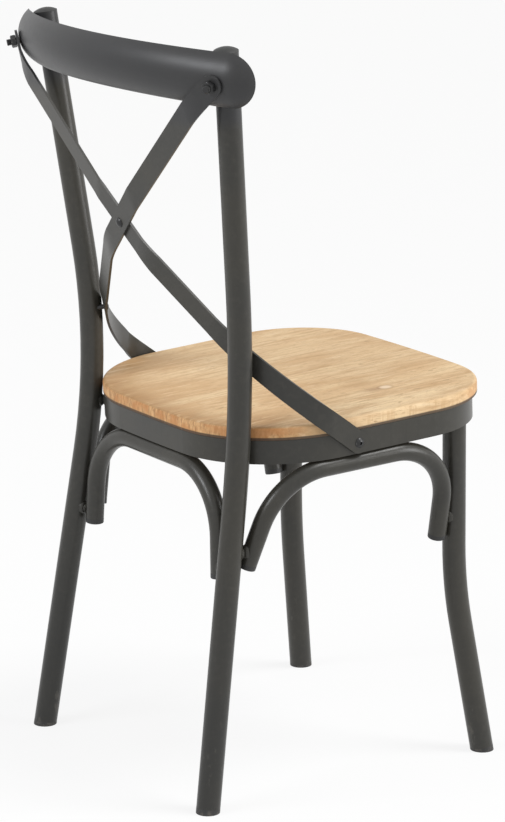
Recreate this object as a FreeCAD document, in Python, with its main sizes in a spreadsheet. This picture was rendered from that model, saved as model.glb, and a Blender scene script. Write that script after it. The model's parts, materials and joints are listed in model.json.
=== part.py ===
import FreeCAD, Part
import math
import os
import Sketcher
from FreeCAD import Placement, Rotation, Vector

# Dining side chair: bent steel tube legs, a wooden seat in a steel ring, a dished back rail
# and two crossed straps. Millimetres, +Z up, the sitter faces -Y, the floor is z = 0.
# Left and right are the sitter's own, so the left side is +X.

doc = FreeCAD.newDocument("side_chair")
sheet = doc.addObject("Spreadsheet::Sheet", "sizes")

SIZES = [
    # Fits
    ("fit_gap", 0.3, "gap between a piece and its seat"),
    ("overrun", 20, "how far a cutter runs past what it cuts"),
    # Rear posts
    ("post_diameter", 28, "tube of posts and front legs"),
    ("post_wall", 1.5, "wall of that tube"),
    ("chair_height", 886, "floor to the top of the post caps"),
    ("rear_foot_half", 183.6, "rear foot from the middle"),
    ("rear_foot_back", 187.2, "rear foot behind the origin"),
    ("rear_knee_half", 155.5, "where the two runs of a post would meet, from the middle"),
    ("rear_knee_back", 118.9, "the same point, behind the origin"),
    ("rear_knee_rise", 72.7, "the same point, above the ring's lower edge"),
    ("rear_top_half", 193.3, "post top from the middle"),
    ("rear_top_back", 166.9, "post top behind the origin"),
    ("post_bend_radius", 850, "bend of the post's centre line"),
    # Front legs
    ("front_foot_half", 192.3, "front foot from the middle"),
    ("front_foot_ahead", 204.3, "front foot ahead of the origin"),
    ("front_knee_half", 171.5, "where the two runs of a leg would meet, from the middle"),
    ("front_knee_ahead", 173.5, "the same point, ahead of the origin"),
    ("front_knee_height", 211, "the same point, above the floor"),
    ("front_top_half", 169, "leg top from the middle"),
    ("front_top_ahead", 172.2, "leg top ahead of the origin"),
    ("leg_bend_radius", 600, "bend of the leg's centre line"),
    # Plastic ends of the tubes
    ("glide_height", 5, "foot glide below the end of the tube"),
    ("glide_plug", 16, "glide's plug in the tube"),
    ("cap_rim", 1.5, "straight rim of a post cap"),
    ("cap_dome", 4, "dome of a post cap above its rim"),
    ("cap_plug", 14, "cap's plug in the tube"),
    # Seat
    ("seat_height", 402.3, "floor to the ring's lower edge at the origin"),
    ("seat_tilt_share", 0.044, "rise of the seat per length forward"),
    ("seat_rear_half", 199.7, "side line of the ring at its rear edge, from the middle"),
    ("seat_front_half", 205.6, "side line of the ring at its front edge, from the middle"),
    ("seat_rear_back", 145.9, "ring's rear edge behind the origin"),
    ("seat_front_ahead", 230.3, "ring's front edge ahead of the origin"),
    ("seat_rear_radius", 137, "rear corners of the ring"),
    ("seat_front_radius", 108.5, "front corners of the ring"),
    ("seat_bow_radius", 2400, "slight bow of the front and rear edges"),
    ("ring_height", 28, "flat bar of the ring, on edge"),
    ("ring_wall", 3, "thickness of that bar"),
    ("board_thickness", 16, "seat board"),
    ("board_overhang", 0.7, "seat board beyond the ring"),
    ("board_front_overhang", 9.2, "the same at the front edge"),
    ("board_top_round", 4, "rounded upper edge of the board"),
    ("board_under_round", 1.5, "eased lower edge of the board"),
    # Tabs and screws under the board
    ("tab_length", 24, "seat tab, from the ring inward"),
    ("tab_width", 26, "seat tab along the ring"),
    ("tab_thickness", 3, "seat tab"),
    ("side_tab_ahead", 68, "side tabs ahead of the origin"),
    ("wood_screw_diameter", 4, "shank of the wood screws"),
    ("wood_screw_depth", 11, "wood screw in the board"),
    ("wood_screw_head", 8, "head diameter"),
    ("wood_screw_head_height", 2.4, "head height"),
    # Braces
    ("brace_diameter", 22, "tube of the three braces"),
    ("brace_wall", 1.5, "wall of that tube"),
    ("brace_cap_height", 6, "cap on the end of a brace"),
    ("brace_cap_plug", 12, "cap's plug in the brace"),
    ("brace_cap_round", 1, "eased edge of the cap"),
    ("side_brace_half", 192.4, "top run of a side brace beside the origin, from the middle"),
    ("side_brace_toe_share", 0.0355, "how the top run spreads per length forward"),
    ("side_brace_lean_share", 0.222, "how far the arch leans in per length down"),
    ("side_brace_drop", 11.4, "top run's axis below the ring's lower edge"),
    ("side_front_gap", 2.6, "front end of a side brace from the front leg"),
    ("side_front_reach", 130.3, "lowest point of that end below the ring's lower edge"),
    ("side_front_flare_share", 0.04, "how that end spreads per length down"),
    ("side_front_radius", 76, "front corner of the side brace"),
    ("side_rear_ahead", 29.5, "rear end of a side brace ahead of the post, at its stud"),
    ("side_rear_reach", 124.8, "lowest point of that end below the ring's lower edge"),
    ("side_rear_flare_share", 0.26, "how that end spreads per length down"),
    ("side_rear_radius", 84, "rear corner of the side brace"),
    ("rear_brace_back", 137, "top run of the rear brace behind the origin"),
    ("rear_brace_drop", 11.4, "its axis below the ring's lower edge"),
    ("rear_brace_inset", 29.9, "its ends in from the posts"),
    ("rear_brace_ahead", 7.8, "its ends ahead of the posts"),
    ("rear_brace_reach", 139.8, "its lowest point below the ring's lower edge"),
    ("rear_brace_flare_share", 0.06, "how its ends spread per length down"),
    ("rear_brace_radius", 80, "its corners"),
    ("stud_diameter", 11, "studs that hold braces and ring to the legs"),
    ("side_front_stud_drop", 106.3, "stud at the front leg below the ring's lower edge"),
    ("side_rear_stud_drop", 104.3, "stud at the rear post below the ring's lower edge"),
    ("rear_stud_drop", 124.3, "studs of the rear brace below the ring's lower edge"),
    ("ring_stud_rise", 13, "stud between ring and post above the ring's lower edge"),
    # Back rail
    ("rail_radius", 507, "outer face of the rail in plan"),
    ("rail_back", 238, "rearmost point of the rail behind the origin"),
    ("rail_below_top", 27, "middle of the rail below the top of the caps"),
    ("rail_fall_share", 0.11, "how far the rail falls per length forward"),
    ("rail_lean_share", 0.12, "how far the rail's edges lean back per height"),
    ("rail_depth", 60, "height of the rail"),
    ("rail_crown_radius", 38, "crowned section of the rail"),
    ("rail_half_length", 226, "half the rail along its face, without the round end"),
    ("rail_sheet", 2.2, "steel sheet of the rail"),
    # Straps
    ("strap_width", 25.4, "flat bar of the straps"),
    ("strap_thickness", 3, "flat bar of the straps"),
    ("strap_lean_share", 1.95, "lean of the straps, as a share of the posts' own lean"),
    ("strap_late_fall_share", 0.02, "how much of a strap's fall comes late along its length"),
    ("rail_bolt_drop", 4.5, "rail bolts at the axes of the posts, below the middle of the rail"),
    ("rail_bolt_angle", 27.5, "rail bolts turned out from straight back, in degrees"),
    ("strap_end_run", 31, "from the rail bolt to the strap's first bend"),
    ("strap_first_radius", 65, "first bend of a strap"),
    ("crossing_back", 225, "straps at their crossing behind the origin, led up to the rail bolt"),
    ("crossing_half_flat", 38, "half the flat stretch of a strap at the crossing"),
    ("crossing_radius", 85, "slight bends beside the crossing"),
    ("wrap_radius", 138, "turn of a strap past the post"),
    ("wrap_room_share", 0.94, "the most of the room between its two runs that this turn takes"),
    ("strap_set_back", 33, "last bend of a strap behind the origin, led down to the seat bolt"),
    ("strap_set_radius", 45, "last bend of a strap"),
    ("seat_bolt_ahead", 7.9, "seat bolts ahead of the origin"),
    # Fasteners
    ("rail_bolt_diameter", 8, "rail bolt"),
    ("rail_bolt_thread_end", 5, "thread beyond the nut"),
    ("rail_bolt_head", 18, "domed head of the rail bolt"),
    ("rail_bolt_head_height", 4, "domed head of the rail bolt"),
    ("rail_nut_width", 13, "hex nut across its flats"),
    ("rail_nut_height", 6.5, "hex nut"),
    ("rivet_diameter", 6, "crossing rivet, post screws and seat bolts"),
    ("rivet_head", 12, "their domed heads"),
    ("rivet_head_height", 3, "their domed heads"),
    ("post_hole_diameter", 9, "hole of the strap where it meets the post"),
    ("post_screw_shift", 5, "that hole inboard of the touching point"),
    ("seat_nut_width", 10, "hex nut inside the ring, across its flats"),
    ("seat_nut_height", 5, "hex nut inside the ring"),
]

for row, (alias, value, note) in enumerate(SIZES, start=1):
    sheet.set("A%d" % row, note)
    sheet.set("B%d" % row, str(value))
    sheet.setAlias("B%d" % row, alias)
doc.recompute()


def size(alias):
    return float(sheet.get(alias))


POST_RADIUS = size("post_diameter") / 2
BRACE_RADIUS = size("brace_diameter") / 2
GAP = size("fit_gap")
OVERRUN = size("overrun")
UP = Vector(0, 0, 1)
SIDES = (("left", 1), ("right", -1))

nodes = []


def unit(vector):
    return Vector(vector).normalize()


def node(item, name):
    """Give a finished sub-part its name and list it for writing."""
    item.Label = name
    nodes.append(item)
    return item


def bind(item, prop, value):
    """Set a size to a sheet expression, or to a length worked out from the sheet."""
    if isinstance(value, str):
        item.setExpression(prop, value)
    else:
        setattr(item, prop, value)


def facing(start, direction):
    """A place at start whose Z axis points along direction."""
    return Placement(start, Rotation(UP, direction))


class Route:
    """A centre line: straight runs joined by tangent arcs."""

    def __init__(self, points, radii):
        self.pieces = []
        here = points[0]
        for before, corner, after, radius in zip(points, points[1:], points[2:], radii):
            back = unit(before - corner)
            onward = unit(after - corner)
            half = back.getAngle(onward) / 2
            start = corner + back * (radius / math.tan(half))
            end = corner + onward * (radius / math.tan(half))
            centre = corner + unit(back + onward) * (radius / math.sin(half))
            self.pieces.append((here, start, None))
            self.pieces.append((start, end, centre))
            here = end
        self.pieces.append((here, points[-1], None))

    @staticmethod
    def piece_length(start, end, centre):
        if centre is None:
            return (end - start).Length
        return (start - centre).Length * (start - centre).getAngle(end - centre)

    def length(self):
        return sum(self.piece_length(*piece) for piece in self.pieces)

    def at(self, distance):
        """The point at this distance along the line, and the direction there."""
        for start, end, centre in self.pieces:
            length = self.piece_length(start, end, centre)
            if distance <= length or end is self.pieces[-1][1]:
                break
            distance -= length
        if centre is None:
            ahead = unit(end - start)
            return start + ahead * distance, ahead
        arm = start - centre
        turn = distance / arm.Length
        sweep = unit(arm.cross(end - centre)).cross(arm)
        point = centre + arm * math.cos(turn) + sweep * math.sin(turn)
        return point, unit(sweep * math.cos(turn) - arm * math.sin(turn))

    def at_height(self, height):
        """The point of a rising line at this height, and the direction there."""
        low, high = 0.0, self.length()
        while high - low > self.length() * 1e-9:
            middle = (low + high) / 2
            if self.at(middle)[0].z < height:
                low = middle
            else:
                high = middle
        return self.at(low)

    def edges(self):
        """The line as sketch geometry, with the bends marked by their radius."""
        result = []
        for start, end, centre in self.pieces:
            if centre is None:
                result.append(Part.LineSegment(start, end))
                continue
            middle = centre + unit(start + end - centre * 2) * (start - centre).Length
            result.append(Part.Arc(start, middle, end))
        return result


def body_sketch(body, role, name):
    """A sketch on one of the body's own origin planes."""
    sketch = body.newObject("Sketcher::SketchObject", name)
    plane = [item for item in body.Origin.OriginFeatures if item.Role == role][0]
    sketch.AttachmentSupport = [(plane, "")]
    sketch.MapMode = "FlatFace"
    return sketch


def tie(sketch, kind, index, value, expression):
    """A radius or diameter of a sketch, bound to the sheet."""
    place = sketch.addConstraint(Sketcher.Constraint(kind, index, value))
    sketch.setExpression("Constraints[%d]" % place, expression)


def join_ends(sketch, bend):
    """Tie an arc's ends to the runs before and after it."""
    arc = sketch.Geometry[bend]
    runs = ((bend - 1, 2, sketch.Geometry[bend - 1].EndPoint), (bend + 1, 1, sketch.Geometry[bend + 1].StartPoint))
    for run, run_end, point in runs:
        arc_end = 1 if arc.StartPoint.distanceToPoint(point) < arc.EndPoint.distanceToPoint(point) else 2
        sketch.addConstraint(Sketcher.Constraint("Coincident", run, run_end, bend, arc_end))


def tube(name, points, radii, diameter, wall):
    """A bent tube along points. Its radii, diameter and wall are names in the sheet."""
    along = unit(points[1] - points[0])
    normal = unit(along.cross(points[2] - points[1]))
    across = normal.cross(along)
    flat = []
    for point in points:
        offset = point - points[0]
        flat.append(Vector(offset.dot(along), offset.dot(across), 0))

    body = doc.addObject("PartDesign::Body", name)
    path = body_sketch(body, "XY_Plane", name + "_path")
    for edge in Route(flat, [size(radius) for radius in radii]).edges():
        path.addGeometry(edge)
    for corner, radius in enumerate(radii):
        join_ends(path, 2 * corner + 1)
        tie(path, "Radius", 2 * corner + 1, size(radius), "sizes." + radius)

    profile = body_sketch(body, "YZ_Plane", name + "_profile")
    outside = size(diameter)
    inside = outside - 2 * size(wall)
    for index, across_tube in enumerate((outside, inside)):
        profile.addGeometry(Part.Circle(Vector(), UP, across_tube / 2))
        profile.addConstraint(Sketcher.Constraint("Coincident", index, 3, -1, 1))
    tie(profile, "Diameter", 0, outside, "sizes." + diameter)
    tie(profile, "Diameter", 1, inside, "sizes.%s - 2 * sizes.%s" % (diameter, wall))

    pipe = body.newObject("PartDesign::AdditivePipe", name + "_pipe")
    pipe.Profile = profile
    pipe.Spine = path
    body.Placement = Placement(FreeCAD.Matrix(
        along.x, across.x, normal.x, points[0].x,
        along.y, across.y, normal.y, points[0].y,
        along.z, across.z, normal.z, points[0].z,
    ))
    return body


def cylinder(name, place, radius, height):
    """A plain cylinder. Its sizes are sheet expressions or worked out lengths."""
    item = doc.addObject("Part::Cylinder", name)
    bind(item, "Radius", radius)
    bind(item, "Height", height)
    item.Placement = place
    return item


def fuse(name, items):
    result = doc.addObject("Part::MultiFuse", name)
    result.Shapes = items
    return result


def cut(name, base, tools):
    result = doc.addObject("Part::Cut", name)
    result.Base = base
    result.Tool = tools[0] if len(tools) == 1 else fuse(name + "_cutters", tools)
    return result


def dome(radius, base, rise):
    """The arc of a dome from its rim at height base to its top: its middle and its end."""
    ball = (radius ** 2 + rise ** 2) / (2 * rise)
    half = math.asin(radius / ball) / 2
    top = base + rise
    return Vector(ball * math.sin(half), top - ball + ball * math.cos(half)), Vector(0, top)


def turned(name, outline, place):
    """A turned piece. Its outline runs up from the axis: points, and arcs as (middle, end)."""
    body = doc.addObject("PartDesign::Body", name)
    sketch = body_sketch(body, "XZ_Plane", name + "_outline")
    here = outline[0]
    for step in outline[1:]:
        if isinstance(step, tuple):
            sketch.addGeometry(Part.Arc(here, step[0], step[1]))
            here = step[1]
        else:
            sketch.addGeometry(Part.LineSegment(here, step))
            here = step
    sketch.addGeometry(Part.LineSegment(here, outline[0]))
    turn = body.newObject("PartDesign::Revolution", name + "_turn")
    turn.Profile = sketch
    turn.ReferenceAxis = (sketch, ["V_Axis"])
    turn.Angle = 360
    body.Placement = place
    return body


def plug_end(name, place, tube_radius, wall, plug, rim, top):
    """A cap for a tube: a plug in its bore, a rim as wide as the tube, then the given top."""
    plug_radius = tube_radius - wall - GAP
    outline = [
        Vector(0, -plug), Vector(plug_radius, -plug), Vector(plug_radius, 0),
        Vector(tube_radius, 0), Vector(tube_radius, rim),
    ]
    return turned(name, outline + top, place)


def bolt(name, place, shank, length, head, rise, far_head=False):
    """A bolt or rivet: a domed head below its place, and its shank along its Z axis."""
    middle, top = dome(head / 2, 0, rise)
    outline = [Vector(top.x, -top.y), (Vector(middle.x, -middle.y), Vector(head / 2, 0))]
    outline += [Vector(shank / 2, 0), Vector(shank / 2, length)]
    if far_head:
        outline += [Vector(head / 2, length), dome(head / 2, length, rise)]
    else:
        outline += [Vector(0, length)]
    return turned(name, outline, place)


def hex_nut(name, place, width, height, bore):
    """A hex nut; width is across its flats. All sizes are sheet expressions."""
    prism = doc.addObject("Part::Prism", name + "_blank")
    prism.Polygon = 6
    bind(prism, "Circumradius", "(%s) / 2 / cos(30)" % width)
    bind(prism, "Height", height)
    prism.Placement = place
    hole = cylinder(name + "_bore", place, "(%s) / 2 + sizes.fit_gap" % bore, height)
    return cut(name, prism, [hole])


# Centre lines of the posts and legs

def below_seat(alias):
    """A height this far below the ring's lower edge at the origin."""
    return size("seat_height") - size(alias)


KNEE_HEIGHT = size("seat_height") + size("rear_knee_rise")


def rear_axis(side):
    points = [
        Vector(side * size("rear_foot_half"), size("rear_foot_back"), 0),
        Vector(side * size("rear_knee_half"), size("rear_knee_back"), KNEE_HEIGHT),
        Vector(side * size("rear_top_half"), size("rear_top_back"), size("chair_height")),
    ]
    return points, Route(points, [size("post_bend_radius")])


def seat_level(back):
    """Height of the ring's lower edge, this far behind the origin."""
    return size("seat_height") - size("seat_tilt_share") * back


def front_axis(side):
    ahead = size("front_top_ahead")
    under_board = seat_level(-ahead) + size("ring_height")
    top = under_board - GAP - POST_RADIUS * size("seat_tilt_share")
    points = [
        Vector(side * size("front_foot_half"), -size("front_foot_ahead"), 0),
        Vector(side * size("front_knee_half"), -size("front_knee_ahead"), size("front_knee_height")),
        Vector(side * size("front_top_half"), -ahead, top),
    ]
    return points, Route(points, [size("leg_bend_radius")])


def foot_glide(name, route):
    """A plastic glide in the foot of a tube, flat on the floor."""
    start, along = route.at_height(size("glide_height"))
    radius = POST_RADIUS
    plug_radius = radius - size("post_wall") - GAP
    blank = turned(name + "_blank", [
        Vector(0, -OVERRUN), Vector(radius, -OVERRUN), Vector(radius, 0),
        Vector(plug_radius, 0), Vector(plug_radius, size("glide_plug")), Vector(0, size("glide_plug")),
    ], facing(start, along))
    under = doc.addObject("Part::Box", name + "_floor")
    for prop in ("Length", "Width", "Height"):
        bind(under, prop, "sizes.post_diameter + 2 * sizes.overrun")
    reach = POST_RADIUS + OVERRUN
    under.Placement.Base = Vector(start.x - reach, start.y - reach, -2 * reach)
    node(cut(name, blank, [under]), name)


# Seat outline: bowed front and rear edges, straight sides and round corners, all tangent

def seat_corner(end_sign, normal, reach, corner, bow, end):
    """Centre of a corner that touches the side line and a bowed edge."""
    foot = normal * (reach - corner)
    along = Vector(-normal.y, normal.x, 0)
    to_bow = Vector(0, end_sign * (end - bow), 0) - foot
    aside = to_bow.dot(normal)
    return foot + along * (to_bow.dot(along) + end_sign * math.sqrt((bow - corner) ** 2 - aside ** 2))


def side_line():
    """Outward normal of the ring's left side, and its distance from the origin."""
    rear = Vector(size("seat_rear_half"), size("seat_rear_back"), 0)
    front = Vector(size("seat_front_half"), -size("seat_front_ahead"), 0)
    along = unit(rear - front)
    normal = Vector(along.y, -along.x, 0)
    return normal, normal.dot(rear)


def ring_half_width(back):
    """The ring's outer side from the middle, where its side is straight."""
    normal, reach = side_line()
    return (reach - normal.y * back) / normal.x


def seat_outline(grow, front_grow=None):
    """Closed outline of the seat, grown outward by this much, the front edge on its own if asked."""
    normal, reach = side_line()
    reach += grow
    bow = size("seat_bow_radius") + grow
    stations = []
    for end_sign, end_name, corner_name in ((-1, "seat_front_ahead", "seat_front_radius"),
                                            (1, "seat_rear_back", "seat_rear_radius")):
        end_grow = grow if front_grow is None or end_sign > 0 else front_grow
        end = size(end_name) + end_grow
        corner = size(corner_name) + (grow + end_grow) / 2
        centre = seat_corner(end_sign, normal, reach, corner, bow, end)
        bow_centre = Vector(0, end_sign * (end - bow), 0)
        outward = unit(centre - bow_centre)
        on_side = centre + normal * corner
        on_bow = bow_centre + outward * bow
        between = centre + unit(normal + outward) * corner
        middle = Vector(0, end_sign * end, 0)
        stations.append((on_side, between, on_bow, middle))
    front, rear = stations

    def mirrored(point):
        return Vector(-point.x, point.y, 0)

    edges = [Part.LineSegment(front[0], rear[0]), Part.Arc(rear[0], rear[1], rear[2])]
    edges.append(Part.Arc(rear[2], rear[3], mirrored(rear[2])))
    edges.append(Part.Arc(mirrored(rear[2]), mirrored(rear[1]), mirrored(rear[0])))
    edges.append(Part.LineSegment(mirrored(rear[0]), mirrored(front[0])))
    edges.append(Part.Arc(mirrored(front[0]), mirrored(front[1]), mirrored(front[2])))
    edges.append(Part.Arc(mirrored(front[2]), front[3], front[2]))
    edges.append(Part.Arc(front[2], front[1], front[0]))
    return edges


def seat_place(lift):
    """The plane of the seat, this far above the ring's lower edge."""
    tilt = math.degrees(math.atan(size("seat_tilt_share")))
    turn = Rotation(Vector(1, 0, 0), -tilt)
    return Placement(Vector(0, 0, size("seat_height")) + turn.multVec(UP * lift), turn)


def plate(name, outlines, height, place):
    """A flat piece of this height in the seat's plane; outlines after the first are open."""
    body = doc.addObject("PartDesign::Body", name)
    sketch = body_sketch(body, "XY_Plane", name + "_outline")
    for outline in outlines:
        for edge in outline:
            sketch.addGeometry(edge)
    pad = body.newObject("PartDesign::Pad", name + "_pad")
    pad.Profile = sketch
    bind(pad, "Length", height)
    body.Placement = place
    return body


def round_edges(body, name, level, radius):
    """Round the outer edges of a plate that lie at this height of its own frame."""
    doc.recompute()
    feature = body.Tip
    found = []
    for index, edge in enumerate(feature.Shape.Edges, start=1):
        box = edge.BoundBox
        if abs(box.ZMin - level) < GAP / 10 and abs(box.ZMax - level) < GAP / 10:
            found.append("Edge%d" % index)
    rounding = body.newObject("PartDesign::Fillet", name)
    rounding.Base = (feature, found)
    bind(rounding, "Radius", radius)
    body.Tip = rounding


# Braces

def side_brace_points(side):
    """Front end, front corner, rear corner and rear end of a side brace."""
    top_here = seat_level(0) - size("side_brace_drop")

    def point(back, height):
        half = size("side_brace_half") - size("side_brace_toe_share") * back
        return Vector(side * (half - size("side_brace_lean_share") * (top_here - height)), back, height)

    def end(stud_back, stud_height, bottom, flare):
        """End and corner, for an end that runs through its stud and spreads by flare."""
        top = seat_level(stud_back) - size("side_brace_drop")
        corner = stud_back - flare * (top - stud_height)
        top = seat_level(corner) - size("side_brace_drop")
        return point(stud_back + flare * (stud_height - bottom), bottom), point(corner, top)

    stud_height = below_seat("side_front_stud_drop")
    leg = front_axis(side)[1].at_height(stud_height)[0]
    apart = POST_RADIUS + BRACE_RADIUS + size("side_front_gap")
    aside = abs(point(leg.y + apart, stud_height).x - leg.x)
    front_back = leg.y + math.sqrt(apart ** 2 - aside ** 2)
    front = end(front_back, stud_height, below_seat("side_front_reach"), -size("side_front_flare_share"))

    stud_height = below_seat("side_rear_stud_drop")
    rear_back = rear_axis(side)[1].at_height(stud_height)[0].y - size("side_rear_ahead")
    rear = end(rear_back, stud_height, below_seat("side_rear_reach"), size("side_rear_flare_share"))
    return [front[0], front[1], rear[1], rear[0]]


def rear_brace_points():
    """Right end, right corner, left corner and left end of the rear brace."""
    stud_height = below_seat("rear_stud_drop")
    post = rear_axis(1)[1].at_height(stud_height)[0]
    half = post.x - size("rear_brace_inset")
    back = post.y - size("rear_brace_ahead")
    top_back = size("rear_brace_back")
    top = seat_level(top_back) - size("rear_brace_drop")
    flare = size("rear_brace_flare_share")
    rake = (back - top_back) / (top - stud_height)
    bottom = below_seat("rear_brace_reach")
    end = Vector(half + flare * (stud_height - bottom), back + rake * (stud_height - bottom), bottom)
    corner = Vector(half - flare * (top - stud_height), top_back, top)
    return [Vector(-end.x, end.y, end.z), Vector(-corner.x, corner.y, corner.z), corner, end]


def brace(name, points, radii, end_names):
    """A brace tube with a cap on each end."""
    height = size("brace_cap_height")
    edge = size("brace_cap_round")
    corner = Vector(BRACE_RADIUS - edge, height - edge)
    diagonal = corner + Vector(edge, edge) * math.sqrt(0.5)
    top = [(diagonal, Vector(corner.x, height)), Vector(0, height)]
    seats = []
    ends = (points[0], points[1], end_names[0]), (points[-1], points[-2], end_names[1])
    for tip, neighbour, end_name in ends:
        outward = unit(tip - neighbour)
        seat = tip - outward * height
        seats.append(seat)
        cap = plug_end(end_name, facing(seat, outward), BRACE_RADIUS, size("brace_wall"),
                       size("brace_cap_plug"), height - edge, top)
        node(cap, end_name)
    run = [seats[0]] + points[1:-1] + [seats[1]]
    node(tube(name, run, radii, "brace_diameter", "brace_wall"), name)


def stud(name, start, start_along, start_radius, end, end_along=None, end_radius=None):
    """A short stud between two tubes, hollowed to fit them, or from a tube to a flat place."""
    across = end - start
    length = across.Length if end_along else across.Length - GAP
    rod = cylinder(name + "_rod", facing(start, across), "sizes.stud_diameter / 2", length)
    reach = size("stud_diameter") / 2 + OVERRUN
    seats = [(start, start_along, start_radius)]
    if end_along:
        seats.append((end, end_along, end_radius))
    hollows = []
    for index, (place, along, radius) in enumerate(seats):
        hollow = facing(place - along * reach, along)
        hollows.append(cylinder("%s_hollow_%d" % (name, index), hollow, radius + GAP, 2 * reach))
    node(cut(name, rod, hollows), name)


def on_run(low, high, height):
    """The point of a straight run at this height, and the direction up the run."""
    along = unit(high - low)
    return low + along * ((height - low.z) / along.z), along


for word, side in SIDES:
    points = side_brace_points(side)
    brace("side_brace_" + word, points, ["side_front_radius", "side_rear_radius"],
          ["brace_cap_front_" + word, "brace_cap_side_rear_" + word])
    level = below_seat("side_front_stud_drop")
    leg_place, leg_along = front_axis(side)[1].at_height(level)
    place, along = on_run(points[0], points[1], level)
    stud("stud_front_" + word, leg_place, leg_along, POST_RADIUS, place, along, BRACE_RADIUS)
    level = below_seat("side_rear_stud_drop")
    post_place, post_along = rear_axis(side)[1].at_height(level)
    place, along = on_run(points[3], points[2], level)
    stud("stud_side_rear_" + word, post_place, post_along, POST_RADIUS, place, along, BRACE_RADIUS)

points = rear_brace_points()
brace("rear_brace", points, ["rear_brace_radius", "rear_brace_radius"],
      ["brace_cap_rear_right", "brace_cap_rear_left"])
for word, side in SIDES:
    low, high = (points[3], points[2]) if side > 0 else (points[0], points[1])
    level = below_seat("rear_stud_drop")
    place, along = on_run(low, high, level)
    post_place, post_along = rear_axis(side)[1].at_height(level)
    stud("stud_rear_" + word, post_place, post_along, POST_RADIUS, place, along, BRACE_RADIUS)


# Back rail: a crowned pressing. Its face is part of a ring of round section, with round ends

RAIL_HEIGHT = size("chair_height") - size("rail_below_top")


def rail_form(name, section):
    """The rail's full round form, with this radius of section as a sheet expression."""
    tilt = math.atan(size("rail_fall_share"))
    back = Vector(0, math.cos(tilt), math.sin(tilt))
    reach = size("rail_radius") - size("rail_crown_radius")
    middle = Vector(0, size("rail_back") - size("rail_crown_radius"), RAIL_HEIGHT)
    centre = middle - back * reach
    half_turn = size("rail_half_length") / size("rail_radius")
    lay = Rotation(Vector(1, 0, 0), math.degrees(tilt))
    torus = doc.addObject("Part::Torus", name + "_band")
    torus.setExpression("Radius1", "sizes.rail_radius - sizes.rail_crown_radius")
    torus.setExpression("Radius2", section)
    torus.Angle3 = math.degrees(2 * half_turn)
    torus.Placement = Placement(centre, lay * Rotation(UP, 90 - math.degrees(half_turn)))
    parts = [torus]
    for word, side in SIDES:
        ball = doc.addObject("Part::Sphere", "%s_%s" % (name, word))
        ball.setExpression("Radius", section)
        arm = Vector(side * math.sin(half_turn), math.cos(half_turn), 0) * reach
        ball.Placement.Base = centre + lay.multVec(arm)
        parts.append(ball)
    return fuse(name, parts)


def back_rail():
    outer = rail_form("rail_outer", "sizes.rail_crown_radius")
    inner = rail_form("rail_inner", "sizes.rail_crown_radius - sizes.rail_sheet")
    half = size("rail_depth") / 2
    crown = size("rail_crown_radius")
    inside = size("rail_radius") - crown + math.sqrt(crown ** 2 - half ** 2)
    lean = unit(Vector(0, size("rail_lean_share"), 1))
    reach = 2 * size("rail_depth") + OVERRUN
    axis = Vector(0, size("rail_back") - size("rail_radius"), RAIL_HEIGHT)
    hollow = cylinder("rail_hollow", facing(axis - lean * reach, lean), inside * lean.z, 2 * reach)
    return cut("back_rail_shell", outer, [inner, hollow])


rail_shell = back_rail()
doc.recompute()


# Straps. In plan, at bolt height, a strap is a route; it falls along the route and leans back

STRAP_HALF = size("strap_thickness") / 2
POST_RISE = size("chair_height") - KNEE_HEIGHT
STRAP_LEAN = size("strap_lean_share") * (size("rear_top_back") - size("rear_knee_back")) / POST_RISE
SEAT_BOLT_HEIGHT = seat_level(0) + size("ring_height") / 2


def leaned(point, from_height):
    """Where a point would lie at bolt height, moved along the straps' lean."""
    return Vector(point.x, point.y - STRAP_LEAN * (point.z - from_height), 0)


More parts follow.
